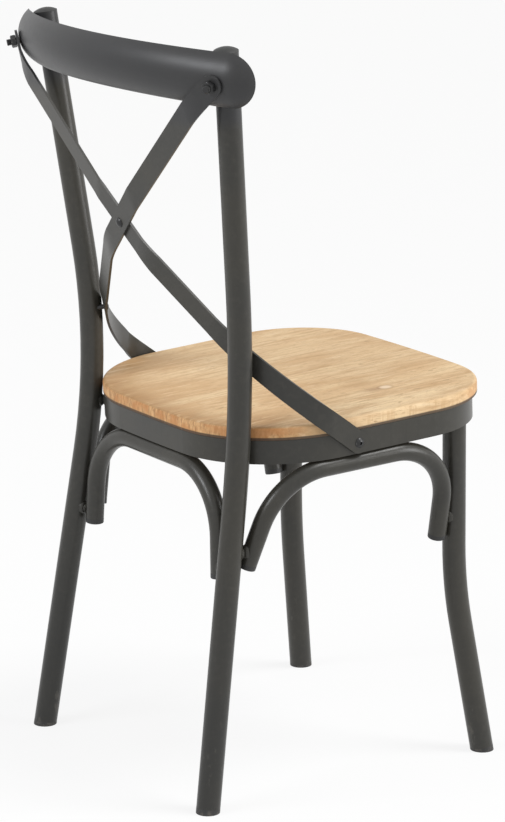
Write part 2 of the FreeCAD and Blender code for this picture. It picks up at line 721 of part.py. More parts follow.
class Strap:
    """The centre line of one strap, from its rail bolt to its seat bolt on the other side."""

    def __init__(self, side):
        self.side = side
        self.lean = Vector(0, STRAP_LEAN, 1)
        angle = math.radians(size("rail_bolt_angle"))
        self.start_ahead = Vector(-side * math.cos(angle), math.sin(angle), 0)
        self.bolt_out = unit(self.start_ahead.cross(self.lean)) * side
        self.post_bolt = rear_axis(side)[1].at_height(RAIL_HEIGHT - size("rail_bolt_drop"))[0]
        self.bolt = self.post_bolt + self.bolt_out * self.bolt_reach()
        self.settle()

    def bolt_reach(self):
        """From the post's axis to the strap's middle, with the strap just clear of the rail."""
        reach = size("rail_radius") / 4
        for attempt in range(3):
            face = self.post_bolt + self.bolt_out * reach
            probe = Part.makeCylinder(size("strap_width") / 2, 2 * STRAP_HALF, face, self.bolt_out)
            reach -= probe.distToShape(rail_shell.Shape)[0] - GAP
        return reach + STRAP_HALF

    def plan(self, wrap_height):
        """The route in plan, with the post touching it at this height."""
        side = self.side
        start = Vector(self.bolt.x, self.bolt.y, 0)
        first = start + self.start_ahead * size("strap_end_run")
        # One strap lies behind the other where they cross.
        layer = -side * (STRAP_HALF + GAP / 2) * self.lean.Length
        crossing = size("crossing_back") + layer
        flat = size("crossing_half_flat")
        near = Vector(side * flat, crossing, 0)
        far = Vector(-side * flat, crossing, 0)

        points = []
        for back in (size("strap_set_back"), -size("seat_bolt_ahead")):
            half = ring_half_width(back) + size("board_overhang") + GAP + STRAP_HALF
            points.append(leaned(Vector(-side * half, back, SEAT_BOLT_HEIGHT), self.bolt.z))

        # The turn touches the post from inside, midway between the directions of its two runs.
        upper_edge = wrap_height + size("strap_width") / 2
        post = leaned(rear_axis(-side)[1].at_height(upper_edge)[0], self.bolt.z)
        apart = STRAP_HALF + 3 * GAP + POST_RADIUS
        past_far = tangent_point(far, post, apart, -side) - post
        past_set = tangent_point(points[0], post, apart, side) - post
        toward = unit(past_far + past_set)
        touch = post + toward * apart
        rooms = [size("wrap_radius")]
        for run_end in (far, points[0]):
            arm = run_end - touch
            if arm.dot(toward) > 0:
                rooms.append(size("wrap_room_share") * arm.Length ** 2 / (2 * arm.dot(toward)))
        radius = min(rooms)
        centre = touch + toward * radius
        arms = [tangent_point(far, centre, radius, side) - centre,
                tangent_point(points[0], centre, radius, -side) - centre]
        half_turn = arms[0].getAngle(arms[1]) / 2
        corner = centre + unit(arms[0] + arms[1]) * (radius / math.cos(half_turn))
        radii = [size("strap_first_radius"), size("crossing_radius"), size("crossing_radius")]
        return Route([start, first, near, far, corner] + points, radii + [radius, size("strap_set_radius")])

    def settle(self):
        """Find the height where the strap passes the post, and its fall."""
        wrap_height = SEAT_BOLT_HEIGHT + (self.bolt.z - SEAT_BOLT_HEIGHT) / 4
        post = rear_axis(-self.side)[1]
        for attempt in range(6):
            self.route = self.plan(wrap_height)
            length = self.route.length()
            self.fall = (self.bolt.z - SEAT_BOLT_HEIGHT) / length
            steps = 400
            places = [length * (0.5 + 0.4 * step / steps) for step in range(steps)]
            self.post_distance = min(places, key=lambda place: self.from_post(place, post))
            wrap_height = self.at(self.post_distance)[0].z

    def from_post(self, distance, post):
        point = self.at(distance)[0]
        place, along = post.at_height(point.z)
        return (point - place).cross(along).Length

    def at(self, distance):
        """Point, direction along and direction out of the strap's rear face."""
        plan, ahead = self.route.at(distance)
        late = size("strap_late_fall_share")
        early = 1 - late
        way = distance / self.route.length()
        point = plan + UP * self.bolt.z - self.lean * (self.fall * distance * (early + late * way))
        along = unit(ahead - self.lean * (self.fall * (early + 2 * late * way)))
        return point, along, unit(ahead.cross(self.lean)) * self.side

    def section(self, distance):
        point, along, out = self.at(distance)
        wide = out.cross(along) * (size("strap_width") / 2)
        thick = out * STRAP_HALF
        corners = [point - wide - thick, point + wide - thick, point + wide + thick, point - wide + thick]
        return Part.makePolygon(corners + corners[:1])

    def solid(self):
        """The bar: flat runs and curved stretches, with a round end about each bolt."""
        bend_steps = 4
        solids = []
        here = 0
        for piece in self.route.pieces:
            length = Route.piece_length(*piece)
            steps = 1 if piece[2] is None else bend_steps
            sections = [self.section(here + length * step / steps) for step in range(steps + 1)]
            solids.append(Part.makeLoft(sections, True, piece[2] is None))
            here += length
        for distance in (0, here):
            point, along, out = self.at(distance)
            solids.append(Part.makeCylinder(size("strap_width") / 2, 2 * STRAP_HALF, point - out * STRAP_HALF, out))
        return solids[0].multiFuse(solids[1:]).removeSplitter()


def tangent_point(outside, centre, radius, turn):
    """Where the line from a point touches a circle, on the side given by turn."""
    arm = outside - centre
    angle = math.acos(radius / arm.Length)
    return centre + Rotation(UP, turn * math.degrees(angle)).multVec(unit(arm) * radius)


straps = {side: Strap(side) for word, side in SIDES}

# Fasteners, each with the holes that it needs

post_cutters = {1: [], -1: []}
strap_cutters = {1: [], -1: []}
rail_cutters = []
ring_cutters = []
RIVET = "sizes.rivet_diameter / 2 + sizes.fit_gap"


def through(name, place, radius, length):
    """A cutter for a hole that starts before its place and runs past its length."""
    start = place.Base - place.Rotation.multVec(UP) * OVERRUN
    return cylinder(name, Placement(start, place.Rotation), radius, length + 2 * OVERRUN)


for word, side in SIDES:
    strap = straps[side]
    bore = "sizes.rail_bolt_diameter / 2 + sizes.fit_gap"
    reach = (strap.bolt - strap.post_bolt).Length
    head = POST_RADIUS + 2 * GAP
    place = facing(strap.post_bolt - strap.bolt_out * head, strap.bolt_out)
    nut_place = facing(strap.bolt + strap.bolt_out * (STRAP_HALF + GAP), strap.bolt_out)
    length = head + reach + STRAP_HALF + GAP + size("rail_nut_height") + size("rail_bolt_thread_end")
    name = "rail_bolt_" + word
    node(bolt(name, place, size("rail_bolt_diameter"), length, size("rail_bolt_head"),
              size("rail_bolt_head_height")), name)
    name = "rail_nut_" + word
    node(hex_nut(name, nut_place, "sizes.rail_nut_width", "sizes.rail_nut_height",
                 "sizes.rail_bolt_diameter"), name)
    post_cutters[side].append(through("post_bolt_hole_" + word, place, bore, 2 * POST_RADIUS))
    rail_cutters.append(through("rail_hole_" + word, place, bore, length))
    strap_cutters[side].append(through("strap_top_hole_" + word, nut_place, bore, 0))

    # The screw that holds the strap to the post on its far side.
    point, along, out = strap.at(strap.post_distance - size("post_screw_shift"))
    seat = STRAP_HALF + GAP
    place = facing(point - out * seat, out)
    name = "post_screw_" + word
    length = 2 * seat + POST_RADIUS
    node(bolt(name, place, size("rivet_diameter"), length, size("rivet_head"), size("rivet_head_height")), name)
    hole = facing(point - out * STRAP_HALF, out)
    strap_cutters[side].append(cylinder("strap_post_hole_" + word, facing(point - out * 2 * STRAP_HALF, out),
                                        "sizes.post_hole_diameter / 2", "2 * sizes.strap_thickness"))
    post_cutters[-side].append(cylinder("post_screw_hole_" + word, hole, RIVET, length))

    # The bolt through the strap's lower end and the ring.
    point, along, out = strap.at(strap.route.length())
    to_ring = STRAP_HALF + GAP + size("board_overhang") + size("ring_wall") + GAP
    place = facing(point + out * (STRAP_HALF + GAP), out * -1)
    length = STRAP_HALF + GAP + to_ring + size("seat_nut_height") + 2 * GAP
    name = "seat_bolt_" + word
    node(bolt(name, place, size("rivet_diameter"), length, size("rivet_head"), size("rivet_head_height")), name)
    name = "seat_nut_" + word
    node(hex_nut(name, facing(point - out * to_ring, out * -1), "sizes.seat_nut_width",
                 "sizes.seat_nut_height", "sizes.rivet_diameter"), name)
    strap_cutters[side].append(through("strap_end_hole_" + word, place, RIVET, 0))
    ring_cutters.append(through("ring_hole_" + word, place, RIVET, to_ring))


# The rivet where the straps cross, square to the flat stretch

def crossing_of(strap):
    """Distance along a strap to the middle plane."""
    low, high = 0, strap.route.length()
    while high - low > strap.route.length() * 1e-9:
        middle = (low + high) / 2
        if strap.at(middle)[0].x * strap.side > 0:
            low = middle
        else:
            high = middle
    return low


centres = [strap.at(crossing_of(strap))[0] for strap in straps.values()]
middle = (centres[0] + centres[1]) * 0.5
out = straps[1].at(crossing_of(straps[1]))[2]
grip = 2 * size("strap_thickness") + 3 * GAP
rivet_place = facing(middle - out * (grip / 2), out)
node(bolt("crossing_rivet", rivet_place, size("rivet_diameter"), grip, size("rivet_head"),
          size("rivet_head_height"), far_head=True), "crossing_rivet")

for word, side in SIDES:
    strap_cutters[side].append(through("strap_crossing_hole_" + word, rivet_place, RIVET, grip))
    bar = doc.addObject("Part::Feature", "strap_bar_" + word)
    bar.Shape = straps[side].solid()
    name = "cross_strap_" + word
    node(cut(name, bar, strap_cutters[side]), name)

node(cut("back_rail", rail_shell, rail_cutters), "back_rail")


# Posts and legs

for word, side in SIDES:
    points, route = rear_axis(side)
    start = route.at_height(size("glide_height"))[0]
    top, along = route.at(route.length())
    cap_seat = top - along * (size("cap_rim") + size("cap_dome"))
    post = tube("post_tube_" + word, [start, points[1], cap_seat], ["post_bend_radius"], "post_diameter", "post_wall")
    name = "rear_post_" + word
    node(cut(name, post, post_cutters[side]), name)
    name = "post_cap_" + word
    dome_top = [dome(POST_RADIUS, size("cap_rim"), size("cap_dome"))]
    node(plug_end(name, facing(cap_seat, along), POST_RADIUS, size("post_wall"), size("cap_plug"),
                  size("cap_rim"), dome_top), name)
    foot_glide("glide_rear_" + word, route)

    points, route = front_axis(side)
    start = route.at_height(size("glide_height"))[0]
    name = "front_leg_" + word
    node(tube(name, [start, points[1], points[2]], ["leg_bend_radius"], "post_diameter", "post_wall"), name)
    foot_glide("glide_front_" + word, route)


# Seat: ring, board, and the tabs and screws that hold them together

ring_bar = plate("ring_bar", [seat_outline(0), seat_outline(-size("ring_wall"))], "sizes.ring_height", seat_place(0))
node(cut("seat_ring", ring_bar, ring_cutters), "seat_ring")

board_edge = seat_outline(size("board_overhang"), size("board_front_overhang"))
board_blank = plate("board_blank", [board_edge], "sizes.board_thickness", seat_place(size("ring_height")))
round_edges(board_blank, "board_top_edge", size("board_thickness"), "sizes.board_top_round")
round_edges(board_blank, "board_lower_edge", 0, "sizes.board_under_round")

tab_reach = GAP + size("ring_wall") + size("tab_length") / 2
side_back = -size("side_tab_ahead")
side_half = ring_half_width(side_back + size("tab_width") / 2)
tabs = [
    ("rear", Vector(0, size("seat_rear_back") - tab_reach, 0), False),
    ("front", Vector(0, tab_reach - size("seat_front_ahead"), 0), False),
    ("left", Vector(side_half - tab_reach, side_back, 0), True),
    ("right", Vector(tab_reach - side_half, side_back, 0), True),
]
under_tab = seat_place(size("ring_height") - size("tab_thickness"))
pilots = []
for word, middle, sideways in tabs:
    spin = Rotation(UP, 90 if sideways else 0)
    box = doc.addObject("Part::Box", "tab_blank_" + word)
    box.setExpression("Length", "sizes.tab_width")
    box.setExpression("Width", "sizes.tab_length")
    box.setExpression("Height", "sizes.tab_thickness")
    corner = spin.multVec(Vector(size("tab_width"), size("tab_length"), 0) * -0.5)
    box.Placement = under_tab * Placement(middle + corner, spin)
    screw_place = under_tab * Placement(middle - UP * GAP, Rotation())
    hole = through("tab_hole_" + word, screw_place, "sizes.wood_screw_diameter / 2 + sizes.fit_gap",
                   size("tab_thickness"))
    name = "seat_tab_" + word
    node(cut(name, box, [hole]), name)
    name = "seat_screw_" + word
    length = GAP + size("tab_thickness") + size("wood_screw_depth")
    node(bolt(name, screw_place, size("wood_screw_diameter"), length, size("wood_screw_head"),
              size("wood_screw_head_height")), name)
    pilots.append(cylinder("pilot_" + word, screw_place, "sizes.wood_screw_diameter / 2 + sizes.fit_gap",
                           length + GAP))
node(cut("seat_board", board_blank, pilots), "seat_board")


# Studs between the ring and the rear posts

doc.recompute()
for word, side in SIDES:
    height = seat_level(size("rear_knee_back")) + size("ring_stud_rise")
    place, along = rear_axis(side)[1].at_height(height)
    nearest = Part.Vertex(place).distToShape(ring_bar.Shape)[1][0][1]
    stud("stud_ring_" + word, place, along, POST_RADIUS, nearest)

doc.recompute()

for item in doc.Objects:
    if "Invalid" in item.State or "Error" in item.State:
        raise RuntimeError("%s failed: %s" % (item.Label, item.State))
for item in nodes:
    if item.Shape.isNull() or not item.Shape.isValid():
        raise RuntimeError(item.Label + " has no valid shape")

os.makedirs("parts", exist_ok=True)
for item in nodes:
    item.Shape.exportStep("parts/%s.step" % item.Label)
print(len(nodes), "sub-parts written")
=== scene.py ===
import json
import math

import bpy
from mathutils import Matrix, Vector


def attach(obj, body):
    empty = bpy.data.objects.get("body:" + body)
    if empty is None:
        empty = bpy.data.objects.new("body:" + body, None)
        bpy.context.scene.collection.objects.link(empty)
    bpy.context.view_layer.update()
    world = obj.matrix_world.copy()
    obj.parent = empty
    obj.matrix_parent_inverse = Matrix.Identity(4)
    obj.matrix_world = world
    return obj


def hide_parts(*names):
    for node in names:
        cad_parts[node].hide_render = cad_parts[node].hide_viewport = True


# Dining side chair: dark satin steel tube and flat bar, a seat of joined light boards.
# Metres, +Z up, the sitter faces -Y and their left is +X.

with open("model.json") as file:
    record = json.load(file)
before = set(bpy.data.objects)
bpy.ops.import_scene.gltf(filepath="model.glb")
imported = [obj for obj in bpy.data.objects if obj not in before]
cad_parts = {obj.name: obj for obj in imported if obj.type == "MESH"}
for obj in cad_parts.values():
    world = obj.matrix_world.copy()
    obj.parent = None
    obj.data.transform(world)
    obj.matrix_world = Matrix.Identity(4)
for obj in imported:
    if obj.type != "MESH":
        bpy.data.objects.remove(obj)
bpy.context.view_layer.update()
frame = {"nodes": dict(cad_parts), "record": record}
cad = frame["nodes"]
bpy.ops.object.select_all(action="DESELECT")

MM = 0.001

# The seat board, with the height of its top at the middle of the chair and its fall to the rear
BOARD_TOP = 0.44634
BOARD_THICKNESS = 0.016
SEAT_FALL = 0.044
STAVE_WIDTH = 0.0684
SEAT_HALF = 3 * STAVE_WIDTH
SEAT_REAR = 0.193
# The knot's place and radii, in X and Y
KNOT = (-0.121, -0.106)
KNOT_RADII = (0.0062, 0.0076)
# A year ring's width, the height of the uppermost heart of a log, and the draw that gives each board its log
YEAR_WIDTH = 0.0085
HEART_HEIGHT = 0.41
LOG_DRAW = 3.7


# Finishes

class Value:
    """A socket in a node tree. Arithmetic on it adds Math nodes."""

    def __init__(self, nodes, socket):
        self.nodes = nodes
        self.socket = socket

    def maths(self, operation, *values, clamp=False):
        """Add a Math node for an operation on these values."""
        return self.nodes.add("Math", {"operation": operation, "use_clamp": clamp}, *values)

    def __add__(self, other):
        return self.maths("ADD", self, other)

    __radd__ = __add__

    def __mul__(self, other):
        return self.maths("MULTIPLY", self, other)

    __rmul__ = __mul__

    def __sub__(self, other):
        return self.maths("SUBTRACT", self, other)

    def __rsub__(self, other):
        return self.maths("SUBTRACT", other, self)

    def __truediv__(self, other):
        return self.maths("DIVIDE", self, other)

    def __pow__(self, other):
        return self.maths("POWER", self, other)

    def squared(self):
        """The value times itself."""
        return self * self

    def of(self, operation):
        """A function of one value, such as SINE or FLOOR."""
        return self.maths(operation, self)

    def clamped(self):
        """The value, held between 0 and 1."""
        return self.maths("ADD", self, 0, clamp=True)

    def between(self, low, high):
        """0 below low and 1 above high, with a smooth turn between them."""
        return self.nodes.add("MapRange", {"interpolation_type": "SMOOTHSTEP"}, self, low, high, 0, 1)


class Nodes:
    """Adds nodes to one tree, a material's or the world's."""

    def __init__(self, tree):
        self.tree = tree

    def add(self, kind, settings, *values, out=0, **named):
        """Add a node; settings come first, then values or links for its sockets in order or by name."""
        made = self.tree.nodes.new("ShaderNode" + kind)
        for key, value in settings.items():
            setattr(made, key, value)
        for key, value in list(enumerate(values)) + list(named.items()):
            self.feed(made.inputs[key.replace("_", " ") if isinstance(key, str) else key], value)
        return Value(self, made.outputs[out])

    def feed(self, socket, value):
        """Link a value to a socket, or set a constant on it."""
        if isinstance(value, Value):
            self.tree.links.new(value.socket, socket)
        else:
            socket.default_value = value

    def place(self):
        """The place on the chair, in metres."""
        return self.add("TexCoord", {}, out="Object")

    def parts(self, vector):
        """The three numbers of a vector or colour."""
        made = self.add("SeparateXYZ", {}, vector).socket.node
        return [Value(self, made.outputs[axis]) for axis in range(3)]

    def noise(self, place, scale, detail=2.0, roughness=0.5):
        """Noise of this scale, the same in all directions."""
        return self.add("TexNoise", {}, Vector=place, Scale=scale, Detail=detail, Roughness=roughness)

    def streaks(self, place, scales, detail=2.0, roughness=0.5):
        """Noise with a scale for each axis, so that it is drawn out where the scale is small."""
        drawn_out = self.add("Mapping", {}, place, (0, 0, 0), (0, 0, 0), scales)
        return self.noise(drawn_out, 1, detail, roughness)

    def grain(self, place, across, along, detail=2.0, roughness=0.5):
        """Noise drawn out from front to rear, as the grain of the seat runs."""
        return self.streaks(place, (across, along, across), detail, roughness)

    def mix(self, share, first, second):
        """The first colour with this share of the second: sockets 0, 6 and 7 of a colour mix."""
        made = self.tree.nodes.new("ShaderNodeMix")
        made.data_type = "RGBA"
        for index, value in ((0, share), (6, first), (7, second)):
            self.feed(made.inputs[index], (*value, 1) if isinstance(value, tuple) else value)
        return Value(self, made.outputs[2])

    def layered(self, colour, *layers):
        """A colour with layers over it, each given by its share and its colour."""
        for share, layer in layers:
            colour = self.mix(share, colour, layer)
        return colour


class Finish(Nodes):
    """One material on Object coordinates, with its shader."""

    def __init__(self, name):
        self.material = bpy.data.materials.new(name)
        self.material.use_nodes = True
        super().__init__(self.material.node_tree)
        self.tree.nodes.clear()
        self.shader = self.tree.nodes.new("ShaderNodeBsdfPrincipled")
        self.output = self.tree.nodes.new("ShaderNodeOutputMaterial")
        self.tree.links.new(self.shader.outputs["BSDF"], self.output.inputs["Surface"])

    def set(self, name, value):
        """Set or link an input of the shader."""
        self.feed(self.shader.inputs[name], (*value, 1) if isinstance(value, tuple) else value)

    def bump(self, height, strength, distance):
        """Give the surface a fine relief of this height."""
        self.set("Normal", self.add("Bump", {}, Strength=strength, Distance=distance, Height=height))


def painted_steel():
    """Dark warm grey satin paint, a little uneven, with a painted cool reflection on the rail, painted shade
    low on the rear legs, and rubbed lighter near the floor.
    """
    f = Finish("dark_painted_steel")
    place = f.place()
    _, y, z = f.parts(place)
    broad = f.noise(place, 9, 3)
    mottle = f.noise(place, 130, 4, 0.6)
    fine = f.noise(place, 1500, 2)
    runs = f.streaks(place, (160, 160, 7), 3)
    # The rail's mask gives its colour a painted cool reflection, and its paint a little more roughness
    on_rail = z.between(0.79, 0.81)
    # Darker low on the rear legs: painted shade
    shaded_rear_feet = (1 - z.between(0.08, 0.3)) * y.between(0.0, 0.1)
    near_floor = 1 - z.between(0.02, 0.16)
    scuffs = f.streaks(place, (60, 60, 22), 5, 0.65).between(0.6, 0.66)
    specks = f.noise(place, 420, 3, 0.6).between(0.69, 0.73)
    rubbed = (scuffs * near_floor * 0.38 + specks * 0.13).clamped()
    paint = f.mix(broad.between(0.35, 0.68), (0.0318, 0.0308, 0.0262), (0.039, 0.0364, 0.029))
    f.set("Base Color", f.layered(
        paint,
        (mottle.between(0.45, 0.75) * 0.4, (0.053, 0.049, 0.041)),
        (runs.between(0.56, 0.78) * 0.3, (0.0225, 0.022, 0.0192)),
        # Cooler on the rail: a painted cool reflection of the lamp
        (on_rail * 0.7, (0.0275, 0.0282, 0.0318)),
        # Painted shade low on the rear legs
        (shaded_rear_feet * 0.5, (0.019, 0.0195, 0.019)),
        (rubbed, (0.125, 0.115, 0.098)),
    ))
    f.set("Roughness", 0.27 + mottle * 0.1 + rubbed * 0.15 + on_rail * 0.08)
    f.set("Specular IOR Level", 0.4)
    f.bump(fine * 0.6 + mottle * 0.4, 0.16, 0.0004)
    return f.material


def staves(f, x):
    """The place across each board of the seat from its middle, and three random shares that it has."""
    stave = ((x + SEAT_HALF) / STAVE_WIDTH).of("FLOOR")
    lot = f.add("TexWhiteNoise", {"noise_dimensions": "1D"}, W=stave + LOG_DRAW, out="Color")
    return x + SEAT_HALF - (stave + 0.5) * STAVE_WIDTH, f.parts(lot)


def years(f, place, across, z, lot):
    """Year rings round the heart of each board, from 0 in light wood to 1 in dark, for boards cut flat."""
    sway = f.grain(place, 8, 2.6, 3) - 0.5
    ripple = f.grain(place, 70, 12, 3) - 0.5
    beside = across + (lot[0] - 0.5) * 0.12 + sway * 0.075
    below = z - HEART_HEIGHT + lot[1] * 0.03 + sway * 0.03
    ring = (beside.squared() + below.squared()).of("SQRT") + ripple * 0.006
    return (ring * (2 * math.pi / YEAR_WIDTH) + lot[2] * 6).of("SINE") * 0.5 + 0.5


def edges(f):
    """How far a face belongs to an edge of the board, and how far to an edge that shows end grain."""
    normal = f.parts(f.add("NewGeometry", {}, out="Normal"))
    level = normal[2].squared()
    endwise = normal[1].squared() / (1.001 - level)
    steep = 1 - level.between(0.2, 0.7)
    return steep, steep * endwise.between(0.03, 0.35)


def seat_wood():
    """Light oiled boards joined side by side, grain from front to rear, one pale knot, with painted shade at
    the rear rim and towards the sitter's left.
    """
    f = Finish("seat_wood")
    place = f.place()
    x, y, z = f.parts(place)
    across, lot = staves(f, x)

    # The grain parts round the knot
    knot_x = (x - KNOT[0]) / KNOT_RADII[0]
    knot_y = (y - KNOT[1]) / KNOT_RADII[1]
    knot = (knot_x.squared() + knot_y.squared()).of("SQRT")
    swell = (knot_x.squared() * -0.2 + knot_y.squared() * -0.05).of("EXPONENT")
    bend = knot_x.of("SIGN") * swell * 0.004

    # Each board comes from its own place in the log
    shift = f.add("CombineXYZ", {}, lot[0] * 7 + bend, lot[1] * 9, lot[2] * 5)
    in_log = f.add("VectorMath", {"operation": "ADD"}, place, shift)
    year = years(f, in_log, across + bend, z, lot)
    tone = f.grain(in_log, 16, 3.5, 3, 0.55)
    cloud = f.grain(in_log, 26, 9)
    patch = f.grain(in_log, 42, 13, 3, 0.55)
    glint = f.grain(in_log, 150, 17, 4, 0.6)
    streak = f.grain(in_log, 230, 27, 4, 0.62)
    fibre = f.grain(in_log, 900, 45, 4, 0.6)
    pores = f.grain(in_log, 1500, 60).between(0.6, 0.7)
    flecks = f.grain(in_log, 120, 48).between(0.68, 0.76)
    ticks = f.grain(in_log, 420, 110).between(0.6, 0.7)

    # Browner towards the rear rim, in patches: painted shade
    rim_x = x.squared() / SEAT_HALF ** 2
    rim_y = y.squared() / SEAT_REAR ** 2
    rim = (rim_x.squared() + rim_y.squared()).between(0.02, 0.3)
    rear_rim_shade = y.between(-0.04, 0.1) * rim * (0.65 + patch.between(0.35, 0.6) * 0.35)

    # The knot is a pale eye with brown round and behind it
    trail_y = (y - KNOT[1] - 0.016) / 0.014
    trail = (knot_x.squared() * -0.5 - trail_y.squared()).of("EXPONENT")
    knot_rim = 1 - (knot - 1.25).of("ABSOLUTE").between(0.0, 0.5)

    # End grain on the front and rear edges is more orange, in strokes across the edge
    steep, end_grain = edges(f)
    strokes = f.streaks(in_log, (290, 30, 70), 5, 0.78)
    wash = f.streaks(in_log, (38, 30, 60), 3)
    end_colour = f.mix(strokes.between(0.36, 0.66), (0.74, 0.45, 0.205), (0.34, 0.15, 0.05))
    end_colour = f.mix(wash.between(0.4, 0.6) * 0.75, end_colour, (0.54, 0.235, 0.075))

    # Sawn long sides, a painted shadow line along the lower edge by the ring, and the glue lines between
    # boards
    sawn = steep * (1 - end_grain) * f.grain(in_log, 30, 300, 3).between(0.5, 0.65)
    over_underside = z + y * SEAT_FALL - (BOARD_TOP - BOARD_THICKNESS)
    # A dark line low on the board's edge: painted shadow of the gap by the ring
    lower_shadow_line = 1 - over_underside.between(0.003, 0.0044)
    seam = (across.of("ABSOLUTE") - STAVE_WIDTH / 2 + 0.0007).between(0.0, 0.0006)

    f.set("Base Color", f.layered(
        f.mix(tone.between(0.34, 0.66), (0.83, 0.62, 0.365), (0.65, 0.42, 0.212)),
        (cloud.between(0.54, 0.72) * 0.55, (0.86, 0.67, 0.4)),
        # Browner towards the sitter's left: painted shade
        (x.between(-0.14, 0.2) * 0.2, (0.5, 0.3, 0.145)),
        # Painted shade at the rear rim
        (rear_rim_shade, (0.35, 0.185, 0.066)),
        (patch.between(0.48, 0.72) * 0.6, (0.57, 0.345, 0.16)),
        ((year ** 3.0) * patch.between(0.3, 0.6) * 0.5, (0.52, 0.315, 0.145)),
        (glint.between(0.52, 0.7) * 0.5, (0.88, 0.69, 0.44)),
        (streak.between(0.52, 0.7) * 0.55, (0.5, 0.295, 0.135)),
        (fibre.between(0.45, 0.75) * 0.36, (0.46, 0.27, 0.125)),
        (pores * 0.42, (0.3, 0.165, 0.075)),
        (flecks * 0.6, (0.36, 0.2, 0.085)),
        (ticks * 0.4, (0.42, 0.24, 0.11)),
        (lot[1].between(0.2, 1.0) * 0.14, (0.5, 0.3, 0.14)),
        ((trail * 0.65 + knot_rim * 0.3).clamped(), (0.38, 0.21, 0.1)),
        ((1 - knot.between(0.5, 1.3)) * 0.75, (0.86, 0.69, 0.5)),
        (end_grain * (0.6 + y.between(-0.05, 0.05) * 0.35), end_colour),
        (sawn * 0.4, (0.55, 0.33, 0.15)),
        # Painted shadow line along the board's lower edge
        (lower_shadow_line * 0.92, (0.045, 0.026, 0.014)),
        (seam * 0.35, (0.36, 0.21, 0.1)),
    ))
    f.set("Roughness", 0.6 + fibre * 0.12 - year * 0.05)
    relief = fibre * 0.5 - pores * 0.7 + year * 0.2 + streak * 0.3 - strokes * end_grain * 1.2 - seam
    f.bump(relief, 0.3, 0.0006)
    return f.material


def dark_plastic():
    """Moulded plastic ends: matte, with a fine grain, scuffed where the glides meet the floor."""
    f = Finish("dark_plastic_ends")
    place = f.place()
    fine = f.noise(place, 2200, 3, 0.6)
    dust = f.noise(place, 60, 4, 0.6)
    near_floor = 1 - f.parts(place)[2].between(0.003, 0.009)
    scuffs = f.noise(place, 170, 4, 0.65).between(0.46, 0.6) * near_floor
    colour = f.mix(dust.between(0.45, 0.8) * 0.6, (0.02, 0.02, 0.0195), (0.045, 0.043, 0.04))
    f.set("Base Color", f.mix(scuffs * 0.55, colour, (0.12, 0.108, 0.093)))
    f.set("Roughness", 0.46 + fine * 0.16 + scuffs * 0.2)
    f.bump(fine, 0.2, 0.0003)
    return f.material


def dark_fastener():
    """Blackened steel, rubbed brighter in places."""
    f = Finish("dark_fasteners")
    place = f.place()
    rubbed = f.noise(place, 240, 4, 0.65).between(0.56, 0.76)
    fine = f.noise(place, 1800, 2)
    f.set("Base Color", f.mix(rubbed, (0.018, 0.018, 0.0185), (0.16, 0.158, 0.15)))
    f.set("Metallic", 0.2 + rubbed * 0.6)
    f.set("Roughness", 0.26 + fine * 0.1)
    f.bump(fine, 0.12, 0.0003)
    return f.material


def plated_screw():
    """Zinc plated steel, slightly clouded."""
    f = Finish("plated_screws")
    cloud = f.noise(f.place(), 300, 4, 0.6)
    f.set("Base Color", f.mix(cloud.between(0.35, 0.7), (0.62, 0.61, 0.58), (0.45, 0.45, 0.44)))
    f.set("Metallic", 1.0)
    f.set("Roughness", 0.32 + cloud * 0.16)
    f.bump(cloud, 0.1, 0.0003)
    return f.material


FINISHES = {
    "dark_painted_steel": painted_steel(),
    "seat_wood": seat_wood(),
    "dark_plastic_ends": dark_plastic(),
    "dark_fasteners": dark_fastener(),
    "plated_screws": plated_screw(),
}


def dress(piece, slot):
    """Give a piece the finish of this slot alone."""
    piece.data.materials.clear()
    piece.data.materials.append(FINISHES[slot])


for subpart in frame["record"]["subparts"]:
    dress(cad[subpart["node"]], subpart["material_slot"])


# Places of the plain CAD pieces

# A face that looks along its bar by more than this share is at one of the bar's ends
END_FACE_SHARE = 0.5


def centre(piece):
    """The middle of a piece's surface."""
    faces = piece.data.polygons
    return sum((face.center * face.area for face in faces), Vector()) / sum(face.area for face in faces)


def reach(piece, direction):
    """How far a piece lies along a direction, from its lowest point to its highest."""
    steps = [point.co.dot(direction) for point in piece.data.vertices]
    return min(steps), max(steps)


def moved_to(height, point, direction):
    """A point, moved along a direction to this height on it."""
    return point + direction * (height - point.dot(direction))


def axis_near(bar, guess):
    """The exact direction of a round bar, given a rough one: square to the normals of its side."""
    rough = guess.normalized()
    normals = [face.normal for face in bar.data.polygons if abs(face.normal.dot(rough)) < END_FACE_SHARE]
    across = min(normals, key=lambda normal: abs(normal.dot(normals[0])))
    axis = normals[0].cross(across).normalized()
    return axis if axis.dot(guess) > 0 else -axis


def middle_on(bar, axis):
    """The point on a round bar's axis halfway between its ends."""
    across = axis.orthogonal().normalized()
    middle = Vector()
    for direction in (axis, across, axis.cross(across)):
        middle += direction * (sum(reach(bar, direction)) / 2)
    return middle


# Modelling

CREASE_ANGLE = math.radians(35)
ROUND_STEPS = 48
DOME_STEPS = 9


def only(piece):
    """Select this piece alone."""
    bpy.ops.object.select_all(action="DESELECT")
    piece.select_set(True)
    bpy.context.view_layer.objects.active = piece


def set_down(piece, place, up):
    """Turn a piece made along Z and move it to its place, with the place in its mesh."""
    only(piece)
    piece.rotation_mode = "QUATERNION"
    piece.rotation_quaternion = up.to_track_quat("Z", "Y")
    piece.location = place
    bpy.ops.object.transform_apply(location=True, rotation=True, scale=True)


